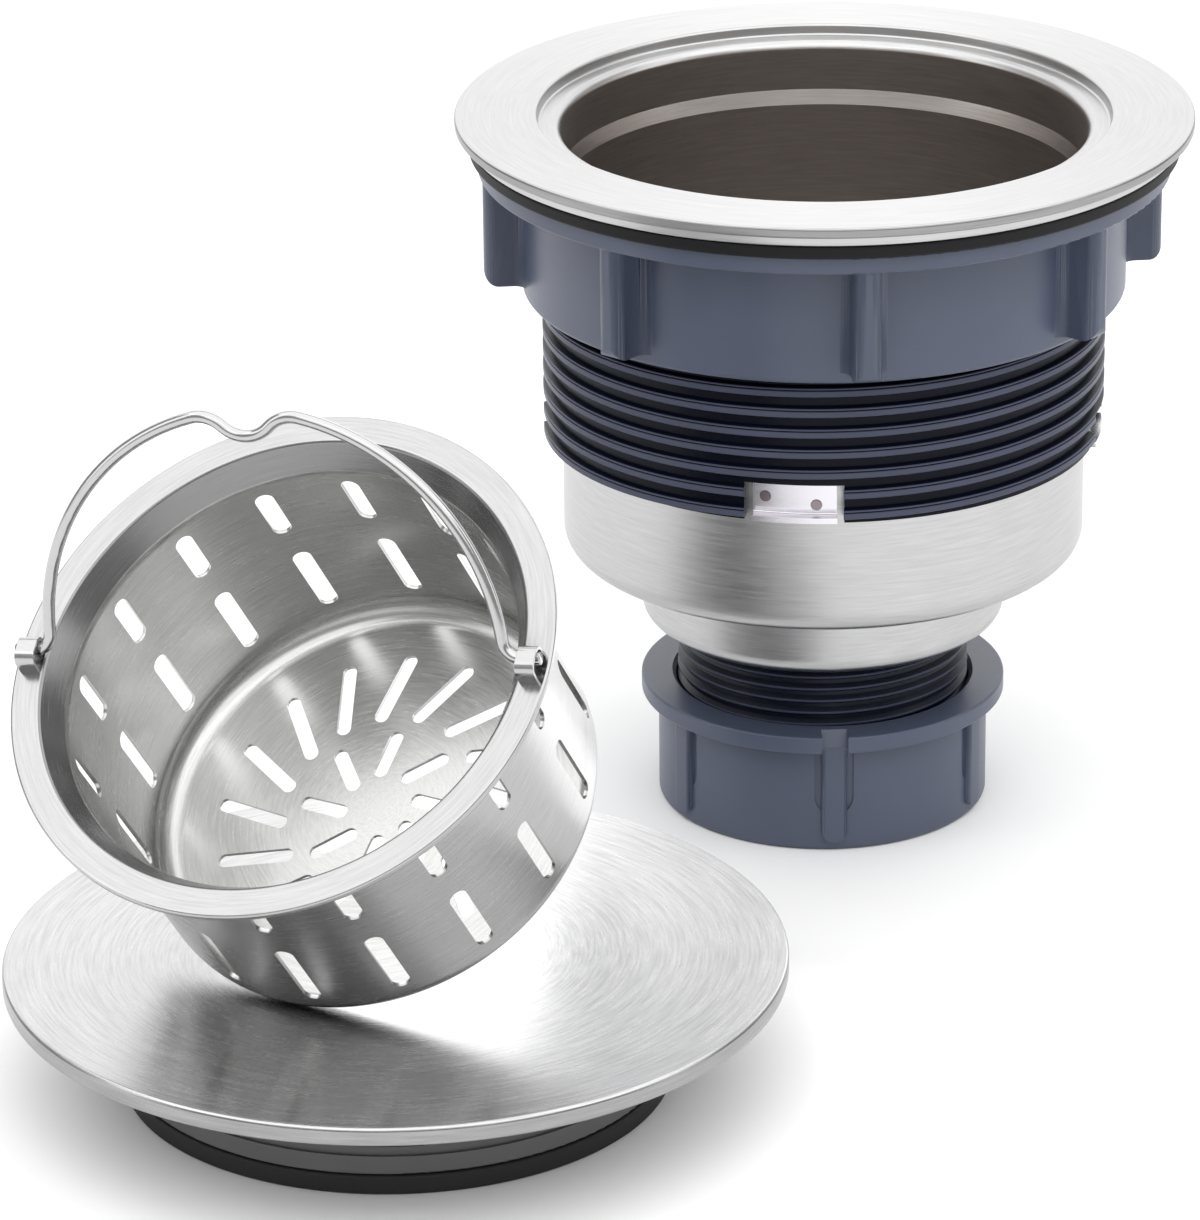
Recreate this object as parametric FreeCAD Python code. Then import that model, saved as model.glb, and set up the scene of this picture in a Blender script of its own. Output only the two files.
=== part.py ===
import FreeCAD, Part
import math
import os

from FreeCAD import Placement, Rotation, Vector

# Basket strainer waste for a kitchen sink, laid out as three separate items on one surface:
# the waste itself, standing upright on its coupling nut, a lid in front of it, and the lift-out
# basket leaning on the lid. Millimetres, +Z up. The origin is on the axis of the waste, at the
# foot of its coupling nut. The front of the object faces -Y. An azimuth is counted from the
# front, positive towards +X. Heights are worked out upwards from the foot of the coupling nut.

# General clearances
seat_gap = 0.1          # between two pieces that are held against each other
slide_gap = 0.3         # radial, between a moving ring and what it slides on
edge_round = 0.4        # rounding of the outer edges of the moulded nuts
overshoot = 1.0         # how far a cutting tool runs past the face that it cuts

# Coupling nut at the foot, moulded
coupling_height = 20.3
coupling_wall = 2.8             # from its bore to its skirt
coupling_flange_reach = 2.7     # from its skirt to the edge of its flange
coupling_flange_thickness = 2.8
coupling_lip_thickness = 2.2
tailpiece_step = 0.65           # from the outlet tube's bore; makes the standard 1 1/2 in tailpiece
tailpiece_clearance = 0.55
coupling_thread_clearance = 0.3
coupling_mouth_chamfer = 0.6
grip_rib_count = 6
grip_rib_azimuth = 2.0
grip_rib_width = 4.1
grip_rib_height = 0.8
grip_rib_round = 0.7            # along the two outer edges of a rib
grip_rib_foot = 1.6             # from the foot of the nut to the rounded end of a rib
rib_groove_width = 1.0          # of the shallow groove on either side of a rib
rib_groove_depth = 0.3
rib_groove_foot = 6.0
notch_slope_run = 1.7           # radial length of the sloping floor above the front rib
notch_slope_drop = 2.3

# Slip washer inside the coupling nut
slip_washer_thickness = 3.0
slip_washer_clearance = 0.95

# Outlet nipple, moulded, threaded outside; its thread is drawn as its outer diameter
nipple_wall = 3.8
nipple_exposed = 10.1           # from the coupling nut to the underside of the sump
nipple_fit = 0.1                # radial, around the outlet tube of the bowl
flare_reach = 1.0               # how far the outlet tube is flared out under the nipple's step
flare_thickness = 0.8
outlet_tube_length = 7.0
outlet_seal_thickness = 1.2
outlet_seal_depth = 1.1
outlet_seal_width = 1.6

# Strainer bowl, pressed from sheet
sheet = 0.8
outlet_tube_radius = 18.4       # inside
sump_radius = 27.9              # inside
sump_depth = 12.0
bowl_radius = 40.2              # inside, below the ledge
ledge_width = 0.6
bowl_height = 71.35             # from the underside of the bowl's floor to the top of its flange
ledge_height = 2.4
bore_height = 8.0               # from the ledge to the shoulder
shoulder_depth = 1.75           # from the top of the flange
shoulder_width = 3.4
recess_slant = 0.25
bowl_corner_round = 3.0         # inside
sump_corner_round = 2.2         # inside
sump_brim_round = 1.0
flange_width = 12.7             # from the recess to the edge; makes the standard 4 1/2 in flange
flange_thickness = 1.65
flange_edge_round = 0.45
under_lip_inset = 1.85
under_lip_width = 1.6
under_lip_height = 1.8

# Sink gasket and lock nut
gasket_thickness = 2.0
gasket_inset = 0.3              # from the under-lip to the gasket's edge
lock_nut_height = 22.4
lock_nut_wall = 2.7             # from its bore to its skirt
lock_nut_flange_thickness = 2.8
lock_nut_flange_reach = 0.6     # from the tips of the lugs to the edge of the flange
lug_count = 8
lug_azimuth = 5.2
lug_reach = 6.1                 # from the skirt to the tip of a lug
lug_width = 4.2
lug_foot = 1.9                  # from the foot of the nut to the foot of a lug
lug_nose_round = 1.7            # seen from above
lug_foot_round = 2.2            # seen from the side
lug_root_round = 1.9
skirt_foot_round = 0.8
skirt_head_round = 1.0          # under the flange

# Threaded sleeve, moulded; its thread is drawn as its outer diameter
sleeve_wall = 2.7
sleeve_length = 49.1
sleeve_notch_count = 4
sleeve_notch_azimuth = -8.0
sleeve_notch_width = 14.4
sleeve_notch_height = 6.0

# Stop tabs, bent from strip and spot-welded to the bowl in the sleeve's notches
tab_thickness = 0.9
tab_side_gap = 0.5
tab_foot_inset = 0.2            # from the sleeve's outer face to the end of a tab's foot
tab_bend_round = 1.1
weld_dot_radius = 0.8
weld_dot_height = 0.12
weld_dots = ((-4.5, 0.60), (3.3, 0.41))    # place along the tab, share of its height

# Lid
lid_x = -65.7
lid_y = -101.5
lid_height = 19.0
lid_plate_thickness = 1.0
lid_rim_height = 2.75
lid_rim_width = 1.6
lid_rim_round = 0.7
lid_seal_clearance = 0.6        # radial, of the seal in the bowl's bore
lid_seal_thickness = 2.95
lid_seal_hole = 27.6
lid_seal_fit = 0.2              # radial, between the seal and its holder, inside and outside
holder_wall = 3.4
holder_band_height = 2.9        # height of the lower band, which stands out a little
holder_band_step = 0.5
holder_web_thickness = 2.5
holder_boss_width = 3.2
holder_boss_lift = 0.6          # from the supporting surface to the foot of the boss
holder_inner_round = 1.0
window_count = 4
window_width = 10.9
window_foot_width = 9.4
window_height = 5.0
window_sill = 1.3               # from the lower band to the foot of a window
window_splay = 1.0              # height over which a window widens from its foot
window_depth = 0.9
stud_radius = 2.5
stud_clearance = 0.25
stud_stand_off = 1.2            # from the supporting surface to the end of the stud
lid_nut_flats = 8.0
lid_nut_height = 4.0

# Basket, in its own frame: the rim's top plane is z = 0 and the mouth opens towards +Z
basket_x = -80.33
basket_y = -118.02
basket_turn = -28.73            # azimuth that the leaning basket faces
basket_tilt = 38.62             # from upright
basket_sheet = 0.6
basket_fit = 0.15               # radial, of the rim in the bowl's bore
basket_rim_width = 4.35
basket_neck_run = 2.7           # by which the wall stands inside the mouth
basket_depth = 42.2             # outside, from the rim's top plane
basket_neck_depth = 4.4
basket_neck_round = 2.5
basket_corner_round = 3.4       # inside
basket_hem_thickness = 1.3
basket_hem_width = 1.5
wall_slot_count = 16
wall_slot_angle = 145.72
wall_slot_width = 2.8
upper_slot_top = 6.5
upper_slot_length = 10.1
lower_slot_top = 22.25
lower_slot_length = 14.2
floor_slot_width = 2.2
outer_floor_slot_count = 16
outer_floor_slot_angle = 214.56
outer_floor_slot_start = 24.13  # radius of the centre of its outer end
outer_floor_slot_end = 15.3
outer_floor_slot_swirl = 10.05
inner_floor_slot_count = 8
inner_floor_slot_angle = 235.07
inner_floor_slot_start = 11.27
inner_floor_slot_end = 5.97
inner_floor_slot_swirl = 10.6

# Bail and its two ears, in the basket's frame
hinge_angle = 10.6              # of the hinge axis around the basket's axis
hinge_height = 2.0              # above the rim's top plane
ear_inset = 1.0                 # from the basket's mouth to the inner face of an ear
ear_width = 3.0                 # along the hinge axis
ear_span = 5.4
ear_height = 3.95
ear_corner_round = 1.6
ear_strip = 0.55
wire_diameter = 1.8
wire_end_inset = 0.3            # from the outer face of an ear to the end of the wire
bail_angle = 50.0               # between the rim's plane and the bail, as it lies
bail_inset = 2.7                # from an ear to the half circle of the bail
bail_bend_round = 2.5
bail_crest_round = 5.0
bail_peak_offset = 7.0
bail_peak_rise = 0.1            # of the two crests above the half circle
bail_dip_depth = 2.8

# Radii that follow from the bowl's, through walls and clearances
bowl_outer_radius = bowl_radius + sheet
bore_radius = bowl_radius + ledge_width
bore_outer_radius = bore_radius + sheet
recess_radius = bore_radius + shoulder_width + recess_slant
flange_radius = recess_radius + flange_width
under_lip_radius = flange_radius - under_lip_inset
sleeve_bore_radius = bowl_outer_radius + slide_gap
sleeve_radius = sleeve_bore_radius + sleeve_wall
ring_bore_radius = sleeve_radius + slide_gap
lock_nut_skirt_radius = ring_bore_radius + lock_nut_wall
lug_tip_radius = lock_nut_skirt_radius + lug_reach
lock_nut_flange_radius = lug_tip_radius + lock_nut_flange_reach
lid_plate_radius = flange_radius
lid_seal_radius = bore_radius - lid_seal_clearance
holder_radius = lid_seal_radius - lid_seal_fit
basket_rim_radius = bore_radius - basket_fit
basket_mouth_radius = basket_rim_radius - basket_rim_width
basket_wall_radius = basket_mouth_radius - basket_neck_run
ear_inner_radius = basket_mouth_radius + ear_inset
wire_reach = ear_inner_radius + ear_width - wire_end_inset
bail_radius = ear_inner_radius - bail_inset
bail_peak_height = bail_radius + bail_peak_rise

# Radii at the outlet
tailpiece_radius = outlet_tube_radius + tailpiece_step
tailpiece_hole_radius = tailpiece_radius + tailpiece_clearance
nipple_bore_radius = outlet_tube_radius + sheet + nipple_fit
nipple_radius = nipple_bore_radius + nipple_wall
coupling_bore_radius = nipple_radius + coupling_thread_clearance
coupling_skirt_radius = coupling_bore_radius + coupling_wall
coupling_flange_radius = coupling_skirt_radius + coupling_flange_reach

# Heights of the waste, worked out from its foot
nipple_foot_z = coupling_lip_thickness + slip_washer_thickness + 2 * seat_gap
sump_foot_z = coupling_height + nipple_exposed
bowl_foot_z = sump_foot_z + sump_depth
flange_top_z = bowl_foot_z + bowl_height
flange_foot_z = flange_top_z - flange_thickness
under_lip_foot_z = flange_foot_z - under_lip_height
shoulder_z = flange_top_z - shoulder_depth
ledge_top_z = shoulder_z - bore_height
gasket_top_z = under_lip_foot_z - seat_gap
gasket_foot_z = gasket_top_z - gasket_thickness
lock_nut_top_z = gasket_foot_z - seat_gap
lock_nut_foot_z = lock_nut_top_z - lock_nut_height
sleeve_top_z = shoulder_z - sheet - seat_gap
sleeve_foot_z = sleeve_top_z - sleeve_length


def ring_point(radius, azimuth, z=0.0):
    """Point at a radius and an azimuth, which is counted from the front towards +X."""
    turn = math.radians(azimuth)
    return Vector(radius * math.sin(turn), -radius * math.cos(turn), z)


def polar_point(radius, angle, z=0.0):
    """Point at a radius and an angle, which is counted from +X towards +Y."""
    turn = math.radians(angle)
    return Vector(radius * math.cos(turn), radius * math.sin(turn), z)


def unit(vector):
    return vector * (1.0 / vector.Length)


def rounded_face(corners, place):
    """Closed face from (u, v, rounding) corners, where place turns u and v into a point."""
    points = [Vector(u, v, 0) for u, v, rounding in corners]
    edges = []
    starts = []
    ends = []
    arcs = []
    for index, (u, v, rounding) in enumerate(corners):
        corner = points[index]
        before = unit(points[index - 1] - corner)
        after = unit(points[(index + 1) % len(points)] - corner)
        if rounding <= 0:
            starts.append(corner)
            ends.append(corner)
            arcs.append(None)
            continue
        half_angle = before.getAngle(after) / 2
        tangent = rounding / math.tan(half_angle)
        centre = corner + unit(before + after) * (rounding / math.sin(half_angle))
        starts.append(corner + before * tangent)
        ends.append(corner + after * tangent)
        arcs.append(centre + unit(corner - centre) * rounding)
    for index in range(len(points)):
        if arcs[index] is not None:
            three = [place(p.x, p.y) for p in (starts[index], arcs[index], ends[index])]
            edges.append(Part.Arc(*three).toShape())
        following = (index + 1) % len(points)
        if (starts[following] - ends[index]).Length > 1e-6:
            line = Part.LineSegment(place(ends[index].x, ends[index].y),
                                    place(starts[following].x, starts[following].y))
            edges.append(line.toShape())
    return Part.Face(Part.Wire(edges))


def turned(corners):
    """Full revolve about the Z axis of a closed profile of (radius, z, rounding) corners."""
    face = rounded_face(corners, lambda radius, z: Vector(radius, 0, z))
    return face.revolve(Vector(0, 0, 0), Vector(0, 0, 1), 360)


def sector(corners, azimuth, width_angle):
    """Part revolve of a profile, centred on an azimuth and as wide as the given angle."""
    place = lambda radius, z: ring_point(radius, azimuth - width_angle / 2, z)
    face = rounded_face(corners, place)
    return face.revolve(Vector(0, 0, 0), Vector(0, 0, 1), width_angle)


def offset_path(path, thickness):
    """The other side of a sheet, given one side as open (u, v, rounding) corners."""
    points = [Vector(u, v, 0) for u, v, rounding in path]
    normals = []
    for first, second in zip(points, points[1:]):
        along = unit(second - first)
        normals.append(Vector(along.y, -along.x, 0))
    result = []
    for index, point in enumerate(points):
        if index == 0:
            moved = point + normals[0] * thickness
            rounding = 0
        elif index == len(points) - 1:
            moved = point + normals[-1] * thickness
            rounding = 0
        else:
            one, two = normals[index - 1], normals[index]
            moved = point + (one + two) * (thickness / (1 + one.dot(two)))
            inward = one.cross(two).z
            shift = thickness if inward > 0 else -thickness
            rounding = max(path[index][2] + shift, 0) if path[index][2] > 0 else 0
        result.append((moved.x, moved.y, rounding))
    return result


def cylinder(radius, foot, top):
    return Part.makeCylinder(radius, top - foot, Vector(0, 0, foot))


def rectangle_ring(inner, outer, foot, top, rounding=0.0):
    return turned([(inner, foot, 0), (outer, foot, rounding), (outer, top, rounding), (inner, top, 0)])


def stadium(length, width, place):
    """Face with two straight sides and full-round ends, centred, its length along v."""
    half = width / 2
    straight = length / 2 - half
    corners = [place(-half, -straight), place(half, -straight), place(half, straight), place(-half, straight)]
    edges = [
        Part.LineSegment(corners[1], corners[2]).toShape(),
        Part.Arc(corners[2], place(0, straight + half), corners[3]).toShape(),
        Part.LineSegment(corners[3], corners[0]).toShape(),
        Part.Arc(corners[0], place(0, -straight - half), corners[1]).toShape(),
    ]
    return Part.Face(Part.Wire(edges))


def grip_rib(azimuth, root, top):
    """Upright rib with rounded outer edges and a full-round lower end."""
    outward = ring_point(1, azimuth)
    sideways = ring_point(1, azimuth + 90)
    half = grip_rib_width / 2
    face = coupling_skirt_radius + grip_rib_height
    front = stadium(2 * (top - grip_rib_foot), grip_rib_width,
                    lambda u, v: outward * root + sideways * u + Vector(0, 0, top + v))
    plan = rounded_face([
        (root, -half, 0),
        (face, -half, grip_rib_round),
        (face, half, grip_rib_round),
        (root, half, 0),
    ], lambda u, v: outward * u + sideways * v)
    return front.extrude(outward * (face - root)).common(plan.extrude(Vector(0, 0, top)))


def rib_grooves(azimuth, root, top):
    """Cutter for the two shallow grooves that run down the skirt beside a rib."""
    outward = ring_point(1, azimuth)
    sideways = ring_point(1, azimuth + 90)
    half = grip_rib_width / 2 + rib_groove_width
    groove_floor = cylinder(coupling_skirt_radius - rib_groove_depth, 0, top + overshoot)
    outline = stadium(2 * (top - rib_groove_foot), 2 * half,
                      lambda u, v: outward * root + sideways * u + Vector(0, 0, top + v))
    block = outline.extrude(outward * (coupling_skirt_radius + overshoot - root))
    return block.common(cylinder(coupling_flange_radius, 0, top)).cut(groove_floor)


def coupling_nut():
    """Flanged nut with a lip for the tailpiece, six grip ribs, and a notch above the front rib."""
    lip_top = coupling_lip_thickness
    bore = coupling_bore_radius
    flange_foot = coupling_height - coupling_flange_thickness
    body = turned([
        (tailpiece_hole_radius, 0, 0),
        (coupling_skirt_radius, 0, skirt_foot_round),
        (coupling_skirt_radius, flange_foot, edge_round),
        (coupling_flange_radius, flange_foot, edge_round),
        (coupling_flange_radius, coupling_height, edge_round),
        (bore + coupling_mouth_chamfer, coupling_height, 0),
        (bore, coupling_height - coupling_mouth_chamfer, 0),
        (bore, lip_top, edge_round),
        (tailpiece_hole_radius, lip_top, 0),
    ])
    root = (bore + coupling_skirt_radius) / 2
    rib_face = coupling_skirt_radius + grip_rib_height
    notch_floor = coupling_height - notch_slope_drop
    far = coupling_flange_radius + overshoot
    sideways = ring_point(1, grip_rib_azimuth + 90)
    side = sideways * (-grip_rib_width / 2)
    notch = rounded_face([
        (rib_face - notch_slope_run, coupling_height, 0),
        (rib_face, notch_floor, 0),
        (rib_face, flange_foot - overshoot, 0),
        (far, flange_foot - overshoot, 0),
        (far, coupling_height + overshoot, 0),
        (rib_face - notch_slope_run, coupling_height + overshoot, 0),
    ], lambda r, z: ring_point(r, grip_rib_azimuth, z) + side)
    azimuths = [grip_rib_azimuth + number * 360 / grip_rib_count for number in range(grip_rib_count)]
    cutters = [rib_grooves(azimuth, root, flange_foot) for azimuth in azimuths]
    cutters.append(notch.extrude(sideways * grip_rib_width))
    ribs = [grip_rib(azimuth, root, notch_floor) for azimuth in azimuths]
    return body.cut(cutters).fuse(ribs).removeSplitter()


def slip_washer():
    inner = tailpiece_radius + slip_washer_clearance
    outer = nipple_radius - slide_gap / 2
    foot = coupling_lip_thickness + seat_gap
    return rectangle_ring(inner, outer, foot, foot + slip_washer_thickness, edge_round)


def outlet_nipple():
    flare_radius = outlet_tube_radius + sheet + flare_reach
    step_z = sump_foot_z - outlet_tube_length + flare_thickness + seat_gap
    seal_bore = nipple_bore_radius + outlet_seal_width
    top = sump_foot_z - seat_gap
    return turned([
        (flare_radius + slide_gap, nipple_foot_z, edge_round),
        (nipple_radius, nipple_foot_z, edge_round),
        (nipple_radius, top, edge_round),
        (seal_bore, top, 0),
        (seal_bore, top - outlet_seal_depth, 0),
        (nipple_bore_radius, top - outlet_seal_depth, 0),
        (nipple_bore_radius, step_z, 0),
        (flare_radius + slide_gap, step_z, 0),
    ])


def outlet_seal():
    """Flat ring let into the nipple's mouth, pressed against the sump."""
    top = sump_foot_z
    foot = top - outlet_seal_thickness
    outer = nipple_bore_radius + outlet_seal_width - nipple_fit
    return rectangle_ring(nipple_bore_radius, outer, foot, top)


def strainer_bowl():
    """Flange, bowl, sump and outlet tube, one pressing with a folded rim and a flared outlet."""
    tube_foot = sump_foot_z - outlet_tube_length
    inside = [
        (bore_radius + shoulder_width, shoulder_z, edge_round),
        (bore_radius, shoulder_z, ledge_width + sheet),
        (bore_radius, ledge_top_z, 0),
        (bowl_radius, ledge_top_z - ledge_height, 0),
        (bowl_radius, bowl_foot_z + sheet, bowl_corner_round),
        (sump_radius, bowl_foot_z + sheet, sump_brim_round),
        (sump_radius, sump_foot_z + sheet, sump_corner_round),
        (outlet_tube_radius, sump_foot_z + sheet, sump_brim_round),
        (outlet_tube_radius, tube_foot, 0),
    ]
    outside = offset_path([(recess_radius, flange_top_z, 0)] + inside, -sheet)[2:-1]
    flare_radius = outlet_tube_radius + sheet + flare_reach
    flare = [
        (flare_radius, tube_foot, 0),
        (flare_radius, tube_foot + flare_thickness, 0),
        (outlet_tube_radius + sheet, tube_foot + flare_thickness, 0),
    ]
    shoulder_outer = bore_radius + shoulder_width + sheet
    rim = [
        (shoulder_outer, shoulder_z - sheet, edge_round),
        (shoulder_outer, flange_foot_z, 0),
        (under_lip_radius - under_lip_width, flange_foot_z, 0),
        (under_lip_radius - under_lip_width, under_lip_foot_z, edge_round),
        (under_lip_radius, under_lip_foot_z, edge_round),
        (under_lip_radius, flange_foot_z, 0),
        (flange_radius, flange_foot_z, flange_edge_round),
        (flange_radius, flange_top_z, flange_edge_round),
        (recess_radius, flange_top_z, flange_edge_round),
    ]
    return turned(inside + flare + outside[::-1] + rim)


def threaded_sleeve():
    """Sleeve around the bowl, with a wider bore at its top for the neck and notches at its foot."""
    neck_bore = bore_outer_radius + slide_gap
    neck_foot = ledge_top_z - ledge_height - sheet
    body = turned([
        (sleeve_bore_radius, sleeve_foot_z, 0),
        (sleeve_radius, sleeve_foot_z, edge_round),
        (sleeve_radius, sleeve_top_z, edge_round),
        (neck_bore, sleeve_top_z, 0),
        (neck_bore, neck_foot, 0),
        (sleeve_bore_radius, neck_foot - ledge_height, 0),
    ])
    notch_top = sleeve_foot_z + sleeve_notch_height
    width_angle = math.degrees(sleeve_notch_width / sleeve_radius)
    outline = [
        (bowl_outer_radius, sleeve_foot_z - overshoot, 0),
        (sleeve_radius + overshoot, sleeve_foot_z - overshoot, 0),
        (sleeve_radius + overshoot, notch_top, 0),
        (bowl_outer_radius, notch_top, 0),
    ]
    notches = [sector(outline, azimuth, width_angle) for azimuth in notch_azimuths()]
    return body.cut(notches)


def notch_azimuths():
    return [sleeve_notch_azimuth + number * 360 / sleeve_notch_count for number in range(sleeve_notch_count)]


def stop_tab(azimuth):
    """Upright welded to the bowl, with a foot bent outward, two weld marks on the upright."""
    foot = sleeve_foot_z + seat_gap
    top = sleeve_foot_z + sleeve_notch_height - seat_gap
    face = bowl_outer_radius + tab_thickness
    width_angle = math.degrees((sleeve_notch_width - 2 * tab_side_gap) / sleeve_radius)
    tab = sector([
        (bowl_outer_radius, foot, tab_bend_round),
        (sleeve_radius - tab_foot_inset, foot, 0),
        (sleeve_radius - tab_foot_inset, foot + tab_thickness, 0),
        (face, foot + tab_thickness, tab_bend_round - tab_thickness),
        (face, top, 0),
        (bowl_outer_radius, top, 0),
    ], azimuth, width_angle)
    marks = []
    for along, level in weld_dots:
        outward = ring_point(1, azimuth + math.degrees(along / face))
        start = outward * (face - tab_thickness / 2) + Vector(0, 0, foot + (top - foot) * level)
        length = tab_thickness / 2 + weld_dot_height
        marks.append(Part.makeCylinder(weld_dot_radius, length, start, outward))
    return tab.fuse(marks)


def sink_gasket():
    outer = under_lip_radius - gasket_inset
    return rectangle_ring(ring_bore_radius, outer, gasket_foot_z, gasket_top_z, edge_round)


def lock_nut():
    """Flanged ring with a skirt and eight lugs, whose rounded noses stand out under the flange."""
    flange_foot = lock_nut_top_z - lock_nut_flange_thickness
    body = turned([
        (ring_bore_radius, lock_nut_foot_z, edge_round),
        (lock_nut_skirt_radius, lock_nut_foot_z, skirt_foot_round),
        (lock_nut_skirt_radius, flange_foot, skirt_head_round),
        (lock_nut_flange_radius, flange_foot, edge_round),
        (lock_nut_flange_radius, lock_nut_top_z, edge_round),
        (ring_bore_radius, lock_nut_top_z, edge_round),
    ])
    azimuths = [lug_azimuth + number * 360 / lug_count for number in range(lug_count)]
    lugs = [lock_nut_lug(azimuth, flange_foot + overshoot) for azimuth in azimuths]
    return body.fuse(lugs).removeSplitter()


def lock_nut_lug(azimuth, top):
    """Lug with a rounded nose and foot, joined to the skirt by two coves."""
    outward = ring_point(1, azimuth)
    sideways = ring_point(1, azimuth + 90)
    half = lug_width / 2
    spread = half + lug_root_round
    root = (ring_bore_radius + lock_nut_skirt_radius) / 2
    skirt = math.sqrt(lock_nut_skirt_radius ** 2 - spread ** 2)
    foot = lock_nut_foot_z + lug_foot
    plan = rounded_face([
        (root, spread, 0),
        (skirt, spread, 0),
        (skirt, half, lug_root_round),
        (lug_tip_radius, half, lug_nose_round),
        (lug_tip_radius, -half, lug_nose_round),
        (skirt, -half, lug_root_round),
        (skirt, -spread, 0),
        (root, -spread, 0),
    ], lambda u, v: outward * u + sideways * v + Vector(0, 0, foot))
    envelope = turned([
        (root, foot, 0),
        (lug_tip_radius, foot, lug_foot_round),
        (lug_tip_radius, top, 0),
        (root, top, 0),
    ])
    return plan.extrude(Vector(0, 0, top - foot)).common(envelope)


def lid_plate():
    """Cover plate with a rolled rim, and a stud welded under its middle."""
    plate_foot = lid_height - lid_plate_thickness
    rim_foot = lid_height - lid_rim_height
    stud_foot = stud_stand_off
    return turned([
        (0, stud_foot, 0),
        (stud_radius, stud_foot, edge_round),
        (stud_radius, plate_foot, 0),
        (lid_plate_radius - lid_rim_width, plate_foot, 0),
        (lid_plate_radius - lid_rim_width, rim_foot, edge_round),
        (lid_plate_radius, rim_foot, edge_round),
        (lid_plate_radius, lid_height, lid_rim_round),
        (0, lid_height, 0),
    ])


def lid_holder_ring():
    """Moulded body under the plate: outer wall, web with a hole for the stud, and a boss for the seal."""
    foot = lid_seal_thickness + seat_gap
    band_top = foot + holder_band_height
    web_top = foot + holder_web_thickness
    top = lid_height - lid_plate_thickness - seat_gap
    boss_outer = lid_seal_hole - lid_seal_fit
    boss_inner = boss_outer - holder_boss_width
    body = turned([
        (stud_radius + stud_clearance, web_top, 0),
        (boss_inner, web_top, 0),
        (boss_inner, holder_boss_lift, edge_round),
        (boss_outer, holder_boss_lift, edge_round),
        (boss_outer, foot, 0),
        (holder_radius, foot, edge_round),
        (holder_radius, band_top, 0),
        (holder_radius - holder_band_step, band_top, 0),
        (holder_radius - holder_band_step, top, 0),
        (holder_radius - holder_wall, top, 0),
        (holder_radius - holder_wall, web_top + holder_web_thickness, holder_inner_round),
        (stud_radius + stud_clearance, web_top + holder_web_thickness, 0),
    ])
    face = holder_radius - holder_band_step
    sill = band_top + window_sill
    windows = []
    for number in range(window_count):
        azimuth = number * 360 / window_count
        outward = ring_point(1, azimuth)
        sideways = ring_point(1, azimuth + 90)
        start = face - window_depth
        outline = rounded_face([
            (-window_foot_width / 2, sill, 0),
            (window_foot_width / 2, sill, 0),
            (window_width / 2, sill + window_splay, 0),
            (window_width / 2, sill + window_height, 0),
            (-window_width / 2, sill + window_height, 0),
            (-window_width / 2, sill + window_splay, 0),
        ], lambda u, v: outward * start + sideways * u + Vector(0, 0, v))
        windows.append(outline.extrude(outward * (window_depth + overshoot)))
    return body.cut(windows)


def lid_seal_ring():
    return rectangle_ring(lid_seal_hole, lid_seal_radius, 0, lid_seal_thickness, edge_round)


def lid_nut():
    """Hexagon nut on the stud, under the holder's web."""
    top = lid_seal_thickness + holder_web_thickness
    corner_radius = lid_nut_flats / 2 / math.cos(math.radians(30))
    corners = [polar_point(corner_radius, 60 * number, top - lid_nut_height) for number in range(7)]
    prism = Part.Face(Part.makePolygon(corners)).extrude(Vector(0, 0, lid_nut_height))
    return prism.cut(cylinder(stud_radius + seat_gap, 0, top + overshoot))


def wall_slots():
    """Cutters for the two rows of upright slots in the basket's wall."""
    cutters = []
    start = basket_wall_radius - overshoot
    reach = basket_sheet + 2 * overshoot
    for number in range(wall_slot_count):
        angle = wall_slot_angle + number * 360 / wall_slot_count
        outward = polar_point(1, angle)
        sideways = polar_point(1, angle + 90)
        for top, length in ((upper_slot_top, upper_slot_length), (lower_slot_top, lower_slot_length)):
            middle = Vector(0, 0, -top - length / 2)
            outline = stadium(length, wall_slot_width,
                              lambda u, v: outward * start + sideways * u + middle + Vector(0, 0, v))
            cutters.append(outline.extrude(outward * reach))
    return cutters


def swirled_slots(count, angle, start_radius, end_radius, swirl):
    """Cutters for one ring of slanting slots in the basket's floor."""
    cutters = []
    foot = Vector(0, 0, -basket_depth - overshoot)
    for number in range(count):
        outer = polar_point(start_radius, angle - number * 360 / count)
        inner = polar_point(end_radius, angle + swirl - number * 360 / count)
        middle = (outer + inner) * 0.5
        along = unit(outer - inner)
        across = Vector(along.y, -along.x, 0)
        length = (outer - inner).Length + floor_slot_width
        outline = stadium(length, floor_slot_width, lambda u, v: middle + across * u + along * v + foot)
        cutters.append(outline.extrude(Vector(0, 0, basket_sheet + 2 * overshoot)))
    return cutters


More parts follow.
